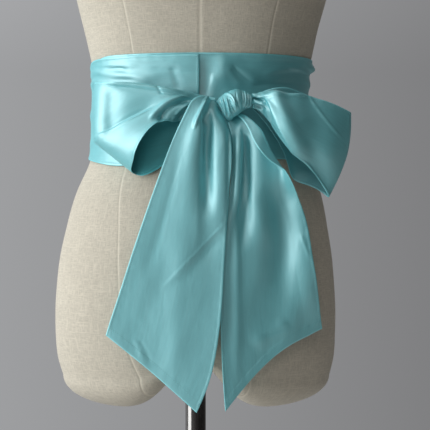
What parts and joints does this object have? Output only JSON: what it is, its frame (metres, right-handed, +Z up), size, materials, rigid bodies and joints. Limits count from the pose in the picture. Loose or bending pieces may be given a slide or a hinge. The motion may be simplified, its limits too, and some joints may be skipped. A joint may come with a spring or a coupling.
{
  "type": "satin sash on a dress form",
  "caption": "Wide satin sash wrapped round the waist of a limbless linen dress form and tied in front in a bow with two long slanted tails, on a pole and round base.",
  "frame": {"origin": "centre of the base plate's flat underside, on the floor", "axes": "+Z up along the pole, -Y out of the front of the form, where the bow is, +X towards the right as seen from the front"},
  "size_m": [0.38, 0.38, 1.531],
  "materials": {
    "satin": "smooth satin, aqua",
    "linen": "plain woven, natural",
    "polished_steel": "polished",
    "base_paint": "smooth black"
  },
  "bodies": {
    "root": {"band_over": "satin", "band_under": "satin", "knot": "satin", "loop_left": "satin", "loop_right": "satin", "tail_left": "satin", "tail_right": "satin", "dress_form": "linen", "pole": "polished_steel", "base": "base_paint"}
  },
  "joints": []
}
